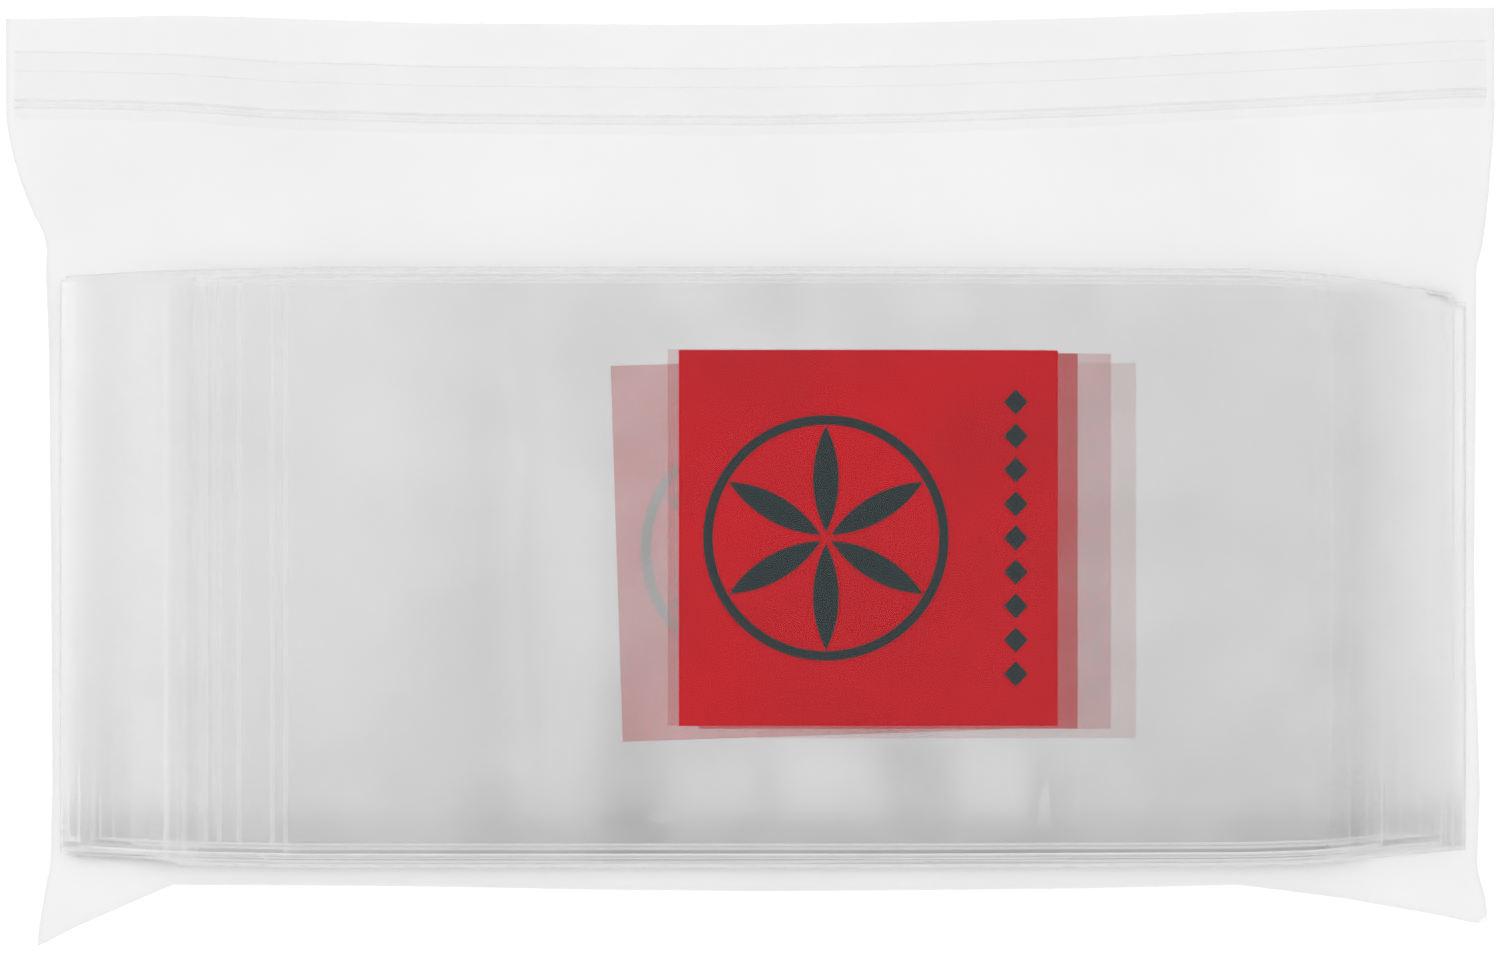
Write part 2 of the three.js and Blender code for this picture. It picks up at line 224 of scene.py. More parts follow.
# Each crease has its points, its height and its half width, in mm.
CREASES = [
    ([(-66, 36), (-62, 15), (-60, 4), (-62, -8), (-63, -26), (-62, -43), (-61, -58), (-60, -70),
      (-60, -83)], 0.5, 1.6),
    ([(-75, -7), (-74.5, -45), (-75.5, -84)], 0.22, 1.8),
    ([(-39, 34), (-41, 10), (-40, -20), (-42, -60), (-40, -92)], 0.25, 2.6),
    ([(-117, 57), (-116, 50)], 0.35, 1.4),
    ([(-110, 57), (-111, 48)], 0.4, 1.4),
    ([(-103, 57), (-101, 51)], 0.3, 1.2),
    ([(-96, 57), (-97, 49)], 0.4, 1.5),
    ([(-89, 57), (-88, 51)], 0.35, 1.4),
    ([(-82, 57), (-84, 50)], 0.3, 1.4),
    ([(22, 57), (21, 46)], 0.35, 2.0),
    ([(90, 56), (88, 44), (90, 38)], 0.3, 2.2),
    ([(-152, -80), (-128, -92), (-120, -99)], 0.4, 1.6),
    ([(-60, -99), (-35, -92), (-24, -98)], 0.5, 2.0),
    ([(60, -76), (62, -96)], 0.35, 2.0),
    ([(84, -72), (85, -96)], 0.3, 2.0),
]
# Each dent or swell has its place, its reach along X and Y, and its height, in mm.
DENTS = [
    (-70.5, -15.8, 6, 5, -0.35), (-71.5, -51.4, 5, 6, -0.35), (2, -84, 16, 9, 0.4),
    (26, -83, 16, 10, 0.45), (68, -82, 12, 10, 0.4), (-25, 47, 14, 7, 0.3), (44, 48, 12, 7, 0.3),
    (-105, 10, 22, 26, 0.4),
]
WAVES_PER_METRE = (16, 10)
WAVE_PLANE = 0.3
WAVE_HEIGHT, FINE_WAVE_HEIGHT = 0.6, 0.3
FINE_WAVES = 2.7


def crease_height(x, y, points, height, half_width):
    """Height of a soft ridge along a line of points, all in mm."""
    nearest = np.full_like(x, 1e9)
    for first, second in zip(points, points[1:]):
        run = np.subtract(second, first)
        share = np.clip(((x - first[0]) * run[0] + (y - first[1]) * run[1]) / (run @ run), 0, 1)
        off_x, off_y = x - first[0] - share * run[0], y - first[1] - share * run[1]
        nearest = np.minimum(nearest, np.hypot(off_x, off_y))
    return height * np.exp(-((nearest / half_width) ** 2))


def waves(x, y):
    """Slow waves, dents and creases that run through the upper bags, in metres."""
    total = np.zeros_like(x)
    for i in range(len(x)):
        point = Vector((x[i] * WAVES_PER_METRE[0], y[i] * WAVES_PER_METRE[1], WAVE_PLANE))
        total[i] = noise.noise(point) * WAVE_HEIGHT + noise.noise(point * FINE_WAVES) * FINE_WAVE_HEIGHT
    across, up = x / MM, y / MM
    for points, height, half_width in CREASES:
        total += crease_height(across, up, points, height, half_width)
    for at_x, at_y, reach_x, reach_y, height in DENTS:
        off = ((across - at_x) / reach_x) ** 2 + ((up - at_y) / reach_y) ** 2
        total += height * np.exp(-off)
    return total * MM


def settle(level, x, y):
    """Resting height with the pile's waves, which fade towards the floor."""
    height = resting_height(level, x, y)
    return height + waves(x, y) * (height / PILE_TOP) ** 2


# %% [markdown]
# ## Painted light and shade of the pile
#
# A hundred clear films look pale at the ends, where light comes through them, and greyer in the
# middle: that light is painted into the films' colour. So is a painted shade that darkens the pile
# towards its edge at low Y, and soft paler and darker patches, the painted light and shade of its
# folds.
# These tones are kept with the sheets' points, as an attribute that the film's material reads. Their
# values were changed, round by round, until most of the render's tones came near the photograph's.

# %% Tones of the pile
# Painted light: the pile is paler towards its two ends, where light comes through the films, and greyer
# in the middle.
PAINTED_LIGHT_ACROSS = ([-192, -184, -173, -158, -140, -105, -72, -55, -40, 8, 120, 156, 171, 187, 197],
                [0.85, 0.8, 0.72, 0.725, 0.71, 0.7, 0.64, 0.67, 0.63, 0.635, 0.64, 0.64, 0.71, 0.815,
                 0.89])
# Painted shade: the pile is darker towards its edge at low Y and a little lighter towards its edge at
# high Y.
PAINTED_SHADE_ALONG = ([-102, -96, -88, -70, -25, 40, 57], [-0.14, -0.13, -0.05, -0.03, 0, 0.02, 0.035])
# Each patch, painted light where it is paler and painted shade where it is darker, has its place and
# its reach along X and Y, in mm, and how much paler it is.
PAINTED_FOLD_PATCHES = [
    (-73, -88, 8, 8, -0.05), (-30, -93, 10, 7, -0.04), (-30, -50, 7, 40, -0.04),
    (-47, -40, 8, 45, 0.04), (-12, -84, 12, 9, 0.05), (22, -82, 15, 9, 0.07),
    (5, -84, 4, 10, -0.03), (44, -80, 9, 12, -0.04), (66, -84, 10, 11, 0.07),
    (80, -86, 4, 12, -0.03), (-20, 50, 12, 6, 0.03), (8, 48, 6, 8, -0.03),
    (50, 47, 12, 7, 0.03), (88, 48, 8, 8, -0.04), (-95, 5, 20, 25, 0.02),
    (110, -30, 14, 40, -0.01),
]
LIGHT_ON_FILM = 1.01
VEIL = 0.03
TOP_HAZE = 0.035
FILM_TONE = 0.8
DARKEST_FILM = 0.05
TONE_SPREAD = 0.05
FINE_SHEETS = len(TOPS) + 1


def seen_tone(x, y):
    """How bright the pile should look from above, from 0 to 1, with its light and shade painted in."""
    across, up = x / MM, y / MM
    tone = np.interp(across, *PAINTED_LIGHT_ACROSS) + np.interp(up, *PAINTED_SHADE_ALONG)
    # Soft patches of painted light and shade on the folds.
    for at_x, at_y, reach_x, reach_y, more in PAINTED_FOLD_PATCHES:
        off_x, off_y = np.abs((across - at_x) / reach_x), np.abs((up - at_y) / reach_y)
        tone += more * np.exp(-(off_x ** 3 + off_y ** 3))
    return tone


def sheet_tone(level, x, y):
    """The colour that a film needs to look so through the clear printed bags above it."""
    above = 2 * min(BAGS_IN_ALL - 1 - level, len(TOPS))
    through = (1 - TOP_HAZE) ** above
    wanted = (seen_tone(x, y) - VEIL) / LIGHT_ON_FILM + SHEET_TONES[level]
    return np.clip((wanted - (1 - through) * FILM_TONE) / through, DARKEST_FILM, 1)


SHEET_TONES = rng.uniform(-TONE_SPREAD, TONE_SPREAD, BAGS_IN_ALL)
SHEET_TONES[-FINE_SHEETS:] = 0
print("tone in the middle:", seen_tone(np.zeros(1), np.zeros(1)).round(3))

# %% [markdown]
# ## One bag as a sheet
#
# A flat bag is made as a grid and given its two faces by Solidify. The grid's lines stand close
# near the ends, where the bag drapes and where its closure and welds are, and wide in the middle.

# %% Sheet maker
MOUTH_STEPS = [0, 0.7, 2.5, 5, 8, 12, 17, 23, 29, 30.4, 38, 48]
FOLD_STEPS = [0, 0.5, 2.5, 5, 8, 12, 17, 23, 30, 38, 48]
SIDE_STEPS = [0, 0.8, 2.5, 5, 9, 14, 22]
BAG_CLOSURE = MOUTH_STEPS.index(29)
FILM_BAG = 0.16 * MM
LEAST_CELL = 0.8 * MM


def grid_lines(start, end, first_steps, last_steps, middle):
    """Positions from start to end: fine steps at both ends and even ones between."""
    near = [start + step * MM for step in first_steps]
    far = [end - step * MM for step in reversed(last_steps)]
    between = np.linspace(near[-1], far[0], middle + 2)[1:-1]
    return np.array(near + list(between) + far)


PANEL_HALF = (51.4 * MM, 51.0 * MM)
PANEL_FROM_CENTRE = (30.3 * MM, 5.2 * MM)


def with_panel_lines(lines, middle, half):
    """Grid lines with two more at the printed panel's edges, and none close beside them."""
    marks = [middle - half, middle + half]
    kept = [line for line in lines if min(abs(line - mark) for mark in marks) > LEAST_CELL]
    return np.array(sorted(kept + marks))


PLAIN_GRID = (12, 6)
FINE_GRID = (130, 46)
PRINT_SHIFT = {"printed_bag_06": 3.2, "printed_bag_04": -2.5, "printed_bag_02": 0.6}
PRINT_TURN = {"printed_bag_04": math.radians(1.84)}
# Places along X, and how far the upper and the lower edge are drawn in there, in mm.
ENDS_DRAWN_IN = ([-192, -163, -122, 40, 136, 154, 170, 194],
                 [2.7, 1.1, 0, 0, 0.5, 1.6, 3.5, 6.3],
                 [2.0, 0.8, 0, 0, 0.4, 1, 2.2, 4.2])
BAG_HALF_BREADTH = 78.5 * MM
TURN_REACH = 112 * MM
TURN_FADE = 40 * MM
FILM_FACES, WELD_FACES, INK_FACES = 0, 1, 2


def drawn_in(x, y):
    """Plan places with the pile's corners drawn in, as the outer bag pulls them."""
    at, upper, lower = ENDS_DRAWN_IN
    middle = places[-1, 2:].mean()
    off = (y - middle) / BAG_HALF_BREADTH
    pull = np.where(off > 0, np.interp(x / MM, at, upper), np.interp(x / MM, at, lower))
    return y - off * np.abs(off) * pull * MM


def turned(x, y, centre, angle):
    """Plan places turned about the panel's middle, less and less beyond its corners."""
    dx, dy = x - centre[0], y - centre[1]
    hold = np.clip((TURN_REACH - np.hypot(dx, dy)) / TURN_FADE, 0, 1) * angle
    cos, sin = np.cos(hold), np.sin(hold)
    return centre[0] + dx * cos - dy * sin, centre[1] + dx * sin + dy * cos


def add_sheet(bm, level, printed=None, turn=0.0, fine=False):
    """One bag of the pile, as a grid at its resting height, with faces for weld and ink."""
    left, right, low, high = places[level]
    middle = FINE_GRID if fine else PLAIN_GRID
    across = grid_lines(left, right, MOUTH_STEPS, FOLD_STEPS, middle[0])
    along = grid_lines(low, high, SIDE_STEPS, SIDE_STEPS, middle[1])
    if printed:
        across = with_panel_lines(across, printed[0], PANEL_HALF[0])
        along = with_panel_lines(along, printed[1], PANEL_HALF[1])
    wide, tall = len(across) - 1, len(along) - 1
    tone = bm.verts.layers.float.get("tone") or bm.verts.layers.float.new("tone")
    made = bmesh.ops.create_grid(bm, x_segments=wide, y_segments=tall, size=1)
    column = [round((v.co.x + 1) / 2 * wide) for v in made["verts"]]
    row = [round((v.co.y + 1) / 2 * tall) for v in made["verts"]]
    x, y = across[column], along[row]
    z = settle(level, x, y) + PITCH / 2
    new_x, new_y = turned(x, drawn_in(x, y), printed, turn) if turn else (x, drawn_in(x, y))
    # Each point keeps the pile's painted light and shade as its tone.
    tones = sheet_tone(level, x, y)
    place = {}
    for i, vert in enumerate(made["verts"]):
        vert.co = (new_x[i], new_y[i], z[i])
        vert[tone] = tones[i]
        place[vert] = (column[i], row[i])
    for face in {face for vert in made["verts"] for face in vert.link_faces}:
        i = min(place[vert][0] for vert in face.verts)
        j = min(place[vert][1] for vert in face.verts)
        on_edge = i in (0, wide - 1) or j in (0, tall - 1)
        face.material_index = WELD_FACES if on_edge or i == BAG_CLOSURE else FILM_FACES
        if printed:
            off_x = (across[i] + across[i + 1]) / 2 - printed[0]
            off_y = (along[j] + along[j + 1]) / 2 - printed[1]
            if abs(off_x) < PANEL_HALF[0] and abs(off_y) < PANEL_HALF[1]:
                face.material_index = INK_FACES


def finish_piece(name, bm, materials, nodes, thickness=None, clear=False):
    """Turn a bmesh into a piece that stands for CAD nodes. A clear piece casts no shadow."""
    mesh = bpy.data.meshes.new(name)
    bm.to_mesh(mesh)
    bm.free()
    for item in materials:
        mesh.materials.append(item)
    mesh.shade_smooth()
    piece = bpy.data.objects.new(name, mesh)
    scene.collection.objects.link(piece)
    if thickness:
        wall = piece.modifiers.new("wall", "SOLIDIFY")
        wall.thickness = thickness
        wall.offset = 0
    piece.visible_shadow = not clear
    piece.visible_diffuse = not clear
    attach(piece, "root")
    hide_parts(*nodes)
    return piece


# %% [markdown]
# ## Film in a pile
#
# Every film adds a little haze, and its edges catch the light. The haze is the shader's alpha, so
# ten layers hide more than one. The red panel is printed on the film: where it is, the alpha is
# nearly one and the colour is that of the ink.

# %% Node helpers
def math_node(tree, operation, first, second=None, clamp=False):
    """One Math node on sockets or numbers."""
    node = tree.nodes.new("ShaderNodeMath")
    node.operation = operation
    node.use_clamp = clamp
    for slot_index, value in enumerate((first, second)):
        if value is None:
            continue
        if isinstance(value, (int, float)):
            node.inputs[slot_index].default_value = value
        else:
            tree.links.new(value, node.inputs[slot_index])
    return node.outputs[0]


def length_node(tree, x, y):
    """How far a place is from the origin."""
    squares = [math_node(tree, "MULTIPLY", value, value) for value in (x, y)]
    return math_node(tree, "SQRT", math_node(tree, "ADD", *squares))


def box_mask(tree, x, y, centre, half, soft):
    """1 inside a rectangle and 0 outside, with a soft edge."""
    inside = []
    for value, middle, reach in ((x, centre[0], half[0]), (y, centre[1], half[1])):
        off = math_node(tree, "ABSOLUTE", math_node(tree, "SUBTRACT", value, middle))
        room = math_node(tree, "SUBTRACT", reach, off)
        inside.append(math_node(tree, "DIVIDE", room, soft, clamp=True))
    return math_node(tree, "MULTIPLY", inside[0], inside[1])


def noise_value(tree, vector, scale, detail):
    """A noise pattern's value on a vector."""
    node = tree.nodes.new("ShaderNodeTexNoise")
    node.inputs["Scale"].default_value = scale
    node.inputs["Detail"].default_value = detail
    node.inputs["Roughness"].default_value = 0.5
    tree.links.new(vector, node.inputs["Vector"])
    return node.outputs["Fac"]


def ranged(tree, value, low, high, to_low, to_high):
    """A value taken from one range to another, held inside it."""
    node = tree.nodes.new("ShaderNodeMapRange")
    for socket, limit in zip(RANGE_SOCKETS, (low, high, to_low, to_high)):
        node.inputs[socket].default_value = limit
    tree.links.new(value, node.inputs["Value"])
    return node.outputs["Result"]


def mixed(tree, factor, first, second):
    """A colour between two, which are sockets or tuples."""
    node = tree.nodes.new("ShaderNodeMix")
    node.data_type = "RGBA"
    tree.links.new(factor, node.inputs["Factor"])
    for socket, value in ((node.inputs[6], first), (node.inputs[7], second)):
        if isinstance(value, tuple):
            socket.default_value = (*value, 1)
        else:
            tree.links.new(value, socket)
    return node.outputs[2]


# %% The printed bags' material
WELD_GREY = (0.74, 0.74, 0.745)
INK_RED = (0.49, 0.003, 0.01)
INK_DARK = (0.018, 0.03, 0.032)
ROSETTE_FROM_PANEL = (-11.5 * MM, 0.0)
ROSETTE_RADIUS = 32 * MM
RING_HALF_WIDTH = 1.6 * MM
PETAL_SHARE = 0.985
LOZENGE_COLUMN = 40 * MM
LOZENGE_SPAN = 83 * MM
LOZENGE_REACH = 3.6 * MM
LOZENGE_SLIMNESS = 0.95
LOZENGES = 9
INK_EDGE = 0.5 * MM
ROW_EDGE = 0.1 * MM
WELD_HAZE = 0.2
HAZE_UNEVEN = 0.2
MOTTLE = 0.03
PATCHY_RED_SHARE = 0.86


def rosette(tree, x, y):
    """A six-petalled rosette in a ring, drawn with arcs as with a compass."""
    off_ring = math_node(tree, "SUBTRACT", length_node(tree, x, y), ROSETTE_RADIUS)
    in_ring = math_node(tree, "SUBTRACT", RING_HALF_WIDTH, math_node(tree, "ABSOLUTE", off_ring))
    total = math_node(tree, "DIVIDE", in_ring, INK_EDGE, clamp=True)
    for i in range(6):
        petals = []
        for side in (0, 1):
            angle = math.pi / 3 * (i + side * 2) + math.pi / 6
            centre = (ROSETTE_RADIUS * math.cos(angle), ROSETTE_RADIUS * math.sin(angle))
            dx = math_node(tree, "SUBTRACT", x, centre[0])
            dy = math_node(tree, "SUBTRACT", y, centre[1])
            far = length_node(tree, dx, dy)
            petals.append(math_node(tree, "SUBTRACT", ROSETTE_RADIUS * PETAL_SHARE, far))
        inside = math_node(tree, "MINIMUM", *petals)
        petal = math_node(tree, "DIVIDE", inside, INK_EDGE, clamp=True)
        total = math_node(tree, "MAXIMUM", total, petal)
    return total


def lozenge_row(tree, x, y):
    """A column of small lozenges, repeated along Y."""
    step = LOZENGE_SPAN / LOZENGES
    shifted = math_node(tree, "DIVIDE", math_node(tree, "ADD", y, LOZENGE_SPAN / 2), step)
    within = math_node(tree, "SUBTRACT", math_node(tree, "FRACT", shifted), 0.5)
    off_y = math_node(tree, "ABSOLUTE", within)
    reach_y = math_node(tree, "MULTIPLY", off_y, step * LOZENGE_SLIMNESS)
    reach_x = math_node(tree, "ABSOLUTE", x)
    room = math_node(tree, "SUBTRACT", LOZENGE_REACH, math_node(tree, "ADD", reach_x, reach_y))
    body = math_node(tree, "DIVIDE", room, INK_EDGE, clamp=True)
    ends = math_node(tree, "SUBTRACT", LOZENGE_SPAN / 2, math_node(tree, "ABSOLUTE", y))
    in_row = math_node(tree, "DIVIDE", ends, ROW_EDGE, clamp=True)
    return math_node(tree, "MULTIPLY", body, in_row)


def weld_material():
    """A bag's welded edge and closure: the same film, pressed thick."""
    material, _, shader = new_material("bag_weld")
    shader.inputs["Base Color"].default_value = (*WELD_GREY, 1)
    shader.inputs["Alpha"].default_value = WELD_HAZE
    shader.inputs["Roughness"].default_value = 0.35
    return material


def core_mask(tree, coordinates):
    """1 where the pile is too deep to look through, and 0 near its ends."""
    split = tree.nodes.new("ShaderNodeSeparateXYZ")
    tree.links.new(coordinates, split.inputs["Vector"])
    centre = ((CORE_LEFT + CORE_RIGHT) / 2, (CORE_LOW + CORE_HIGH) / 2)
    half = ((CORE_RIGHT - CORE_LEFT) / 2, (CORE_HIGH - CORE_LOW) / 2)
    return box_mask(tree, split.outputs["X"], split.outputs["Y"], centre, half, CORE_SOFT)


def hazy_film(name, haze):
    """Clear film with a haze that is a little uneven."""
    material, tree, shader = new_material(name)
    coordinates = tree.nodes.new("ShaderNodeTexCoord").outputs["Object"]
    cloud = noise_value(tree, coordinates, 45, 2.0)
    thin, thick = haze * (1 - HAZE_UNEVEN), haze * (1 + HAZE_UNEVEN)
    tree.links.new(ranged(tree, cloud, 0.3, 0.7, thin, thick), shader.inputs["Alpha"])
    shader.inputs["Base Color"].default_value = (FILM_TONE, FILM_TONE, FILM_TONE, 1)
    shader.inputs["Roughness"].default_value = 0.35
    return material


def deep_film(name, haze):
    """Film of the lower bags: hazy at the pile's two ends, and as good as solid between them."""
    material, tree, shader = new_material(name)
    coordinates = tree.nodes.new("ShaderNodeTexCoord").outputs["Object"]
    core = core_mask(tree, coordinates)
    tree.links.new(ranged(tree, core, 0, 1, haze, 1), shader.inputs["Alpha"])
    # The colour carries the pile's painted light and shade, kept with the sheets' points.
    tone = tree.nodes.new("ShaderNodeAttribute")
    tone.attribute_name = "tone"
    cloud = noise_value(tree, coordinates, 38, 3.0)
    mottle = ranged(tree, cloud, 0.25, 0.75, -MOTTLE, MOTTLE)
    mottled = math_node(tree, "ADD", tone.outputs["Fac"], mottle)
    base = tree.nodes.new("ShaderNodeCombineColor")
    for channel in ("Red", "Green", "Blue"):
        tree.links.new(mottled, base.inputs[channel])
    tree.links.new(base.outputs["Color"], shader.inputs["Base Color"])
    shader.inputs["Roughness"].default_value = 0.4
    return material


def printed_ink(name, centre, turn, cover, painted_film_shade):
    """The red panel with its dark ornament, on faces of their own. Deeper prints are painted darker, a
    painted shade of the films above them.
    """
    material, tree, shader = new_material(name)
    coordinates = tree.nodes.new("ShaderNodeTexCoord").outputs["Object"]
    mapping = tree.nodes.new("ShaderNodeMapping")
    mapping.vector_type = "TEXTURE"
    mapping.inputs["Location"].default_value = (*centre, 0)
    mapping.inputs["Rotation"].default_value = (0, 0, turn)
    tree.links.new(coordinates, mapping.inputs["Vector"])
    split = tree.nodes.new("ShaderNodeSeparateXYZ")
    tree.links.new(mapping.outputs["Vector"], split.inputs["Vector"])
    x, y = split.outputs["X"], split.outputs["Y"]
    motif = rosette(tree, math_node(tree, "SUBTRACT", x, ROSETTE_FROM_PANEL[0]), y)
    row_x = math_node(tree, "SUBTRACT", x, LOZENGE_COLUMN)
    motif = math_node(tree, "MAXIMUM", motif, lozenge_row(tree, row_x, y))
    # The red is darker in random patches.
    cloud = noise_value(tree, coordinates, 30, 4.0)
    # Painted shade: the red is dimmed by the bag's depth in the pile.
    full = tuple(c * painted_film_shade for c in INK_RED)
    patchy_red = tuple(c * painted_film_shade * PATCHY_RED_SHARE for c in INK_RED)
    red = mixed(tree, ranged(tree, cloud, 0.35, 0.7, 0, 1), full, patchy_red)
    tree.links.new(mixed(tree, motif, red, INK_DARK), shader.inputs["Base Color"])
    shader.inputs["Alpha"].default_value = cover
    shader.inputs["Specular IOR Level"].default_value = 0.15
    shader.inputs["Roughness"].default_value = 0.35
    return material


# %% Build the pile
BLOCK_HAZE = 0.22
# How much of what lies below a bag's ink hides, and how far its red is dimmed as a painted shade of the
# films above it.
INKS = {
    "printed_bag_01": (0.96, 1.0), "printed_bag_02": (0.15, 0.8), "printed_bag_03": (0.9, 0.75),
    "printed_bag_04": (0.36, 0.78), "printed_bag_05": (0.27, 0.68), "printed_bag_06": (0.17, 0.55),
}
CORE_INSET = 1 * MM
CORE_BEYOND = 20 * MM
CORE_LEFT = places[:, 0].max() + CORE_INSET
CORE_RIGHT = places[:, 1].min() - CORE_INSET
CORE_LOW = places[:, 2].min() - CORE_BEYOND
CORE_HIGH = places[:, 3].max() + CORE_BEYOND
CORE_SOFT = 9 * MM
SHADOW_CASTERS = BLOCKS[:2]
weld = weld_material()
deep = deep_film("deep_film", BLOCK_HAZE)
clear_film = hazy_film("bag_film", TOP_HAZE)
for node_name in BLOCKS + TOPS:
    mine = [i for i, layer in enumerate(layers) if layer[0] == node_name]
    is_top = node_name in TOPS
    looks = [clear_film if is_top else deep, weld]
    panel = None
    turn = PRINT_TURN.get(node_name, 0.0)
    if is_top:
        left, right, low, high = places[mine[0]]
        shift = PRINT_SHIFT.get(node_name, 0.0) * MM
        panel = ((left + right) / 2 + PANEL_FROM_CENTRE[0] + shift,
                 (low + high) / 2 + PANEL_FROM_CENTRE[1])
        looks.append(printed_ink(f"ink_{node_name}", panel, turn, *INKS[node_name]))
    bm = bmesh.new()
    for i in mine:
        add_sheet(bm, i, panel, turn, fine=i >= BAGS_IN_ALL - FINE_SHEETS)
    clear = node_name not in SHADOW_CASTERS
    piece = finish_piece(f"{node_name}_film", bm, looks, [node_name], FILM_BAG, clear)
print("pile made:", len(layers), "bags")

# %% [markdown]
# ## The outer bag
#
# The outer bag is two films, joined at the sides and along the bottom fold, and open at the lips.
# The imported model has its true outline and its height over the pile, in few faces. Here a fine
# grid takes both from it: the outline by looking along each line of the grid, the height by rays
# from above and from below. The creases of the pile aren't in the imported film, so at the highest of
# them the top bag comes through this one by up to 0.3 mm.

# %% Outline of the film
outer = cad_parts["outer_bag"]
outer_mesh = bmesh.new()
outer_mesh.from_mesh(outer.data)
bmesh.ops.remove_doubles(outer_mesh, verts=outer_mesh.verts, dist=1e-6)
outer_tree = BVHTree.FromBMesh(outer_mesh)
outer_low, outer_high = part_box("outer_bag")
corners = np.array([vert.co for vert in outer_mesh.verts])
edges = np.array([[vert.co for vert in edge.verts] for edge in outer_mesh.edges])


def crossings(axis, at):
    """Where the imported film's edges cross a line: their places along the other axis."""
    first, second = edges[:, 0, axis], edges[:, 1, axis]
    hit = (first - at) * (second - at) <= 0
    hit &= np.abs(second - first) > 1e-9
    share = (at - first[hit]) / (second[hit] - first[hit])
    other = 1 - axis
    return edges[hit, 0, other] + share * (edges[hit, 1, other] - edges[hit, 0, other])


def corner_towards(x_sign, y_sign):
    """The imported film's corner that lies furthest in a direction."""
    reach = corners[:, 0] * x_sign + corners[:, 1] * y_sign
    return corners[np.argmax(reach)][:2]


low_left = corner_towards(-0.3, -1)
low_right = corner_towards(0.3, -1)
high_left = corner_towards(-1, 1)
high_right = corner_towards(1, 1)
print("corners of the film:", low_left, low_right, high_left, high_right)

# %% A patch between four edges
COLUMNS = 150
ROWS = 100
NUDGE = 1e-5
RAY_START = 0.01


def edge_curve(start, stop, count, axis, pick):
    """Points of one edge, from corner to corner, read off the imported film."""
    points = [start]
    for share in np.linspace(0, 1, count)[1:-1]:
        at = start[axis] + (stop[axis] - start[axis]) * share
        point = np.zeros(2)
        point[axis] = at
        point[1 - axis] = pick(crossings(axis, at + NUDGE))
        points.append(point)
    return np.array(points + [stop])


left_edge = edge_curve(low_left, high_left, ROWS, 1, min)
right_edge = edge_curve(low_right, high_right, ROWS, 1, max)
fold_edge = edge_curve(low_left, low_right, COLUMNS, 0, min)
lip_edge = edge_curve(high_left, high_right, COLUMNS, 0, max)


def patch_point(i, j):
    """Plan point where column i and row j cross, blended from the four edges."""
    u, v = i / (COLUMNS - 1), j / (ROWS - 1)
    across = (1 - v) * fold_edge[i] + v * lip_edge[i]
    up = (1 - u) * left_edge[j] + u * right_edge[j]
    ends = (1 - u) * (1 - v) * low_left + u * (1 - v) * low_right
    ends = ends + (1 - u) * v * high_left + u * v * high_right
    return across + up - ends


def film_height(x, y, from_above):
    """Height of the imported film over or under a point, or None beside it."""
    start = outer_high[2] + RAY_START if from_above else outer_low[2] - RAY_START
    direction = Vector((0, 0, -1 if from_above else 1))
    hit = outer_tree.ray_cast(Vector((x, y, start)), direction)[0]
    return None if hit is None else hit.z


# %% [markdown]
# ## Ripples in the outer film
#
# Film that is drawn over a pile shows long shallow ripples: from the pile's corners to the ears and
# to the closure, along the lips, and short puckers beside the welds. They are shaped here as soft
# ridges along lines, with a little noise between them.

# %% Ripples
# Each ripple has its points, its height and its half width, in mm.
RIPPLES = [
    ([(-190, 54), (-186, 70), (-196, 92)], 0.7, 2.6), ([(-176, 58), (-150, 72), (-128, 94)], 0.6, 3.2),
    ([(-120, 60), (-112, 76), (-84, 95)], 0.5, 4), ([(-20, 60), (10, 80), (24, 96)], 0.45, 5),
    ([(60, 60), (44, 78), (52, 96)], 0.45, 4.5), ([(150, 58), (128, 76), (110, 98)], 0.6, 3.4),
    ([(192, 52), (184, 70), (192, 100)], 0.8, 2.8),
    ([(-188, -104), (-196, -116), (-200, -126)], 0.8, 2.2),
    ([(-160, -104), (-176, -112), (-190, -122)], 0.5, 2.2),
    ([(190, -104), (196, -114), (201, -122)], 0.8, 2.2),
    ([(160, -106), (178, -112), (194, -118)], 0.5, 2.2), ([(-196, 62), (-203, 66)], 0.7, 1.8),
    ([(-197, 70), (-206, 76)], 0.6, 2), ([(194, 57), (201, 62)], 0.8, 1.8),
    ([(196, 66), (203, 70)], 0.6, 2),
    ([(-150, -102), (-128, -93), (-110, -100)], 0.5, 2),
    ([(-70, -104), (-38, -97), (-20, -101)], 0.6, 2.2),
    ([(-150, 110), (-90, 114), (-10, 112)], 0.35, 2.5), ([(20, 116), (90, 113), (170, 118)], 0.35, 2.5),
    ([(-186, 121), (-120, 119)], 0.3, 2), ([(60, 121), (140, 123)], 0.3, 2),
]
RIPPLE_NOISE = 0.35
RIPPLES_PER_METRE = (30, 55)
RIPPLE_PLANE = 1.7
FINE_RIPPLES = 2.3
FINE_RIPPLE_SHARE = 0.5


def ripples(x, y):
    """How far the upper film stands up at plan points, in metres. It is never pressed down."""
    total = sum(crease_height(x / MM, y / MM, *ridge) for ridge in RIPPLES)
    for i in range(len(x)):
        point = Vector((x[i] * RIPPLES_PER_METRE[0], y[i] * RIPPLES_PER_METRE[1], RIPPLE_PLANE))
        stir = noise.noise(point) + FINE_RIPPLE_SHARE * noise.noise(point * FINE_RIPPLES)
        total[i] += RIPPLE_NOISE * max(0.0, stir)
    return total * MM


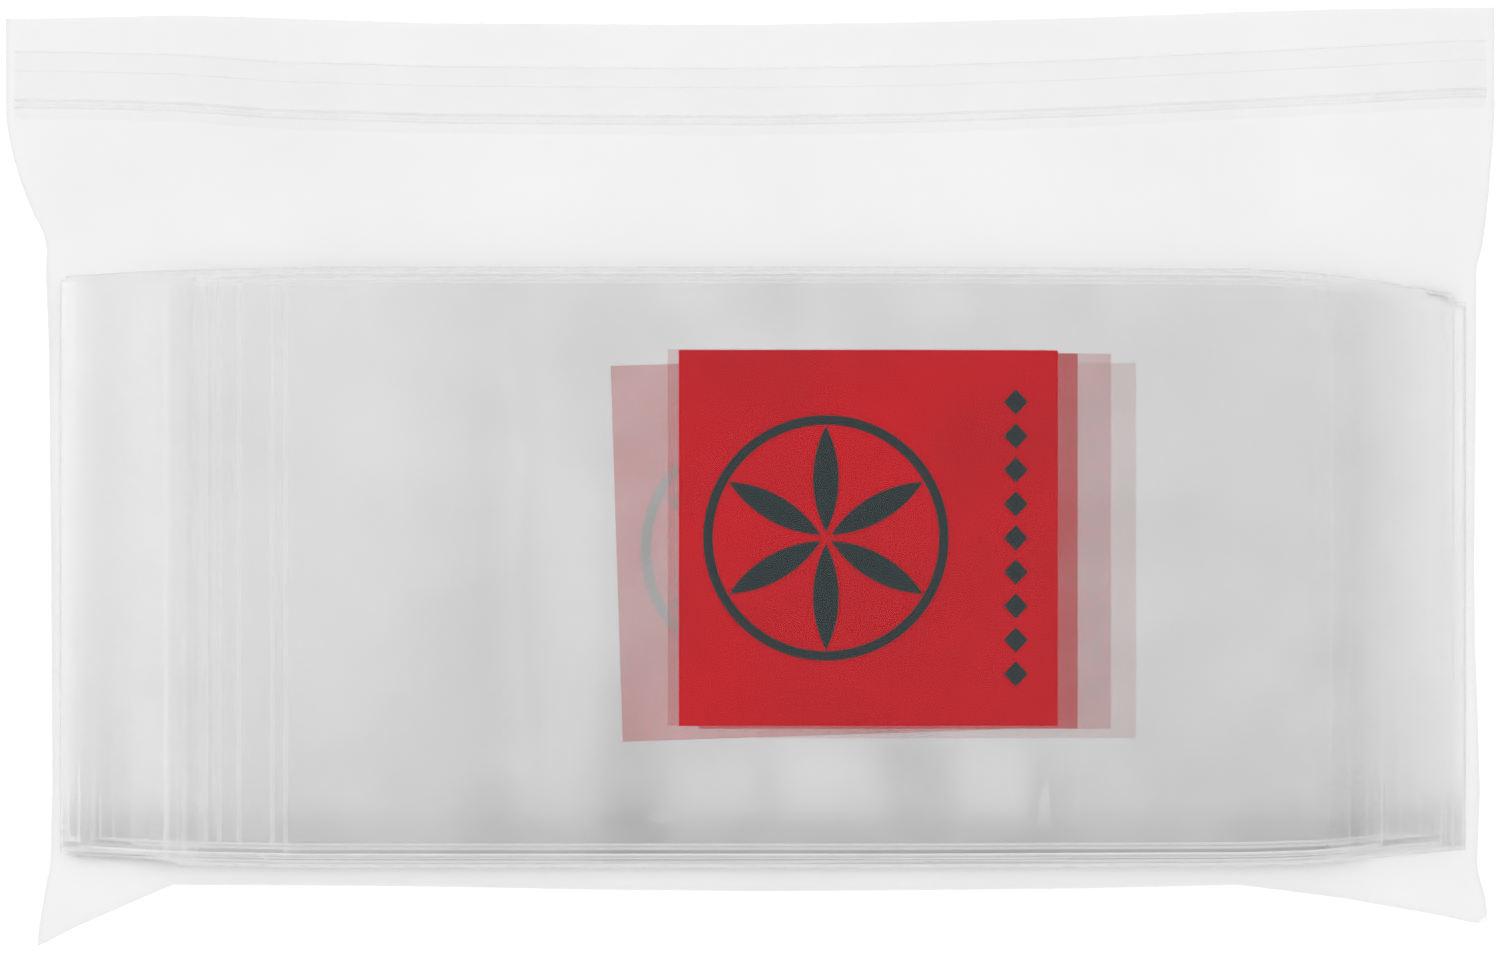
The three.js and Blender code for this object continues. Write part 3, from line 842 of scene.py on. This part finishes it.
# %% The two films as grids
INSET = 0.6 * MM
OUTER_WALL = 0.08 * MM
LEAST_GAP = 0.3 * MM
SEAM_LEVEL = 2 * MM
CALM_CELLS = 3


def film_pair(x, y):
    """Heights of the upper and the lower film at one place, at least a hair apart."""
    above, below = film_height(x, y, True), film_height(x, y, False)
    if above is None or below is None:
        near = outer_tree.find_nearest(Vector((x, y, SEAM_LEVEL)))[0]
        above, below = near.z + LEAST_GAP, near.z
    below = max(below, OUTER_WALL)
    return max(above, below + LEAST_GAP), below


def film_sheet(bm, from_above):
    """One of the two films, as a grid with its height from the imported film."""
    made = bmesh.ops.create_grid(bm, x_segments=COLUMNS - 1, y_segments=ROWS - 1, size=1)
    column = [round((vert.co.x + 1) / 2 * (COLUMNS - 1)) for vert in made["verts"]]
    row = [round((vert.co.y + 1) / 2 * (ROWS - 1)) for vert in made["verts"]]
    for vert, i, j in zip(made["verts"], column, row):
        x, y = patch_point(i, j)
        inner = patch_point(min(max(i, 1), COLUMNS - 2), min(max(j, 1), ROWS - 2))
        aim = Vector((inner[0] - x, inner[1] - y))
        look = Vector((x, y)) + (aim.normalized() * INSET if aim.length else aim)
        above, below = film_pair(look.x, look.y)
        on_seam = i in (0, COLUMNS - 1) or j == 0
        z = (above + below) / 2 if on_seam else (above if from_above else below)
        vert.co = (x, y, z)
    if from_above:
        raised = ripples(*np.array([vert.co[:2] for vert in made["verts"]]).T)
        for vert, i, j, rise in zip(made["verts"], column, row, raised):
            vert.co.z += rise * min(1.0, min(i, COLUMNS - 1 - i, j) / CALM_CELLS)


# %% The outer film's material
OUTER_HAZE = (0.056, 0.066)
LEANING_HAZE = 0.015
OUTER_TONE = 0.13


def outer_film_material():
    """Clear film that hides more where it turns away from the eye."""
    material, tree, shader = new_material("outer_film")
    coordinates = tree.nodes.new("ShaderNodeTexCoord").outputs["Object"]
    cloud = noise_value(tree, coordinates, 18, 4.0)
    weight = tree.nodes.new("ShaderNodeLayerWeight")
    weight.inputs["Blend"].default_value = 0.35
    leaning = ranged(tree, weight.outputs["Facing"], 0.3, 1.0, 0.0, LEANING_HAZE)
    haze = ranged(tree, cloud, 0.3, 0.7, *OUTER_HAZE)
    tree.links.new(math_node(tree, "ADD", leaning, haze, clamp=True), shader.inputs["Alpha"])
    shader.inputs["Base Color"].default_value = (OUTER_TONE, OUTER_TONE, OUTER_TONE, 1)
    shader.inputs["Roughness"].default_value = 0.22
    shader.inputs["IOR"].default_value = 1.5
    return material


outer_material = outer_film_material()
bm = bmesh.new()
film_sheet(bm, True)
film_sheet(bm, False)
bmesh.ops.remove_doubles(bm, verts=bm.verts, dist=1e-6)
bmesh.ops.recalc_face_normals(bm, faces=bm.faces)
finish_piece("outer_film", bm, [outer_material], ["outer_bag"], OUTER_WALL, clear=True)
print("outer film made")

# %% [markdown]
# ## The closure
#
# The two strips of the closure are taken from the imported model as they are, and get a clear plastic
# that is a little milkier than the film. The grip ribs are added as bare ribbons.

# %% Closure strips
# Each look has its name, its haze and its tone.
STRIP_LOOKS = [("closure_flange", 0.008, 0.3), ("closure_bead", 0.03, 0.3), ("closure_rib", 0.12, 0.35)]
STRIP_UNEVEN = 0.25
FLANGE_FACES, BEAD_FACES, RIB_FACES = 0, 1, 2
FLANGE_BELOW = 3 * MM
BEAD_WIDTH = 2.6 * MM
BEAD_SLACK = 0.2 * MM
# Each rib has its distance from the strip's lower edge and its width, in mm.
RIBS = [(3.0, 0.6), (5.1, 0.6), (13.0, 0.2), (18.2, 0.28)]
RIB_STATIONS = 120
RIB_LIFT = 0.1 * MM


def strip_materials():
    """The flat flange, nearly as clear as the film, the interlocking bead, and the grip ribs."""
    made = []
    for name, haze, tone in STRIP_LOOKS:
        material, tree, shader = new_material(name)
        coordinates = tree.nodes.new("ShaderNodeTexCoord").outputs["Object"]
        cloud = noise_value(tree, coordinates, 60, 2.0)
        shader.inputs["Base Color"].default_value = (tone, tone, tone, 1)
        thin, thick = haze * (1 - STRIP_UNEVEN), haze * (1 + STRIP_UNEVEN)
        tree.links.new(ranged(tree, cloud, 0.3, 0.7, thin, thick), shader.inputs["Alpha"])
        shader.inputs["Roughness"].default_value = 0.3
        made.append(material)
    return made


def station_of(vert):
    """A strip's point belongs to the station at its place along X, in mm."""
    return round(vert.co.x / MM, 1)


def add_ribs(bm, lowest, highest):
    """Fine ribs along a strip: each a narrow ribbon, without a wall, just over its upper side."""
    stations = np.array(sorted(lowest))
    low_edge = np.array([lowest[station] for station in stations])
    top = np.array([highest[station] for station in stations])
    for off, width in RIBS:
        made = bmesh.ops.create_grid(bm, x_segments=RIB_STATIONS, y_segments=1, size=1)
        for vert in made["verts"]:
            at = stations[0] + (vert.co.x + 1) / 2 * (stations[-1] - stations[0])
            side = off * MM + vert.co.y * width / 2 * MM
            y = np.interp(at, stations, low_edge) + side
            vert.co = (at * MM, y, np.interp(at, stations, top) + RIB_LIFT)
        for face in {face for vert in made["verts"] for face in vert.link_faces}:
            face.material_index = RIB_FACES


def add_closure(node_name):
    """A copy of a packed strip, merged, with its bead told from its flanges, and the ribs on one."""
    bm = bmesh.new()
    bm.from_mesh(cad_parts[node_name].data)
    bmesh.ops.remove_doubles(bm, verts=bm.verts, dist=1e-6)
    lowest, highest = {}, {}
    for vert in bm.verts:
        station = station_of(vert)
        lowest[station] = min(lowest.get(station, 1.0), vert.co.y)
        highest[station] = max(highest.get(station, -1.0), vert.co.z)
    for face in bm.faces:
        offsets = [vert.co.y - lowest[station_of(vert)] for vert in face.verts]
        above_flange = min(offsets) > FLANGE_BELOW - BEAD_SLACK
        below_lip = max(offsets) < FLANGE_BELOW + BEAD_WIDTH + BEAD_SLACK
        face.material_index = BEAD_FACES if above_flange and below_lip else FLANGE_FACES
    if node_name == "zipper_rib":
        add_ribs(bm, lowest, highest)
    return finish_piece(f"{node_name}_strip", bm, closure_looks, [node_name], clear=True)


closure_looks = strip_materials()
for node_name in ("zipper_channel", "zipper_rib"):
    add_closure(node_name).data.shade_flat()
print("closure made")

# %% End
print("pack made")
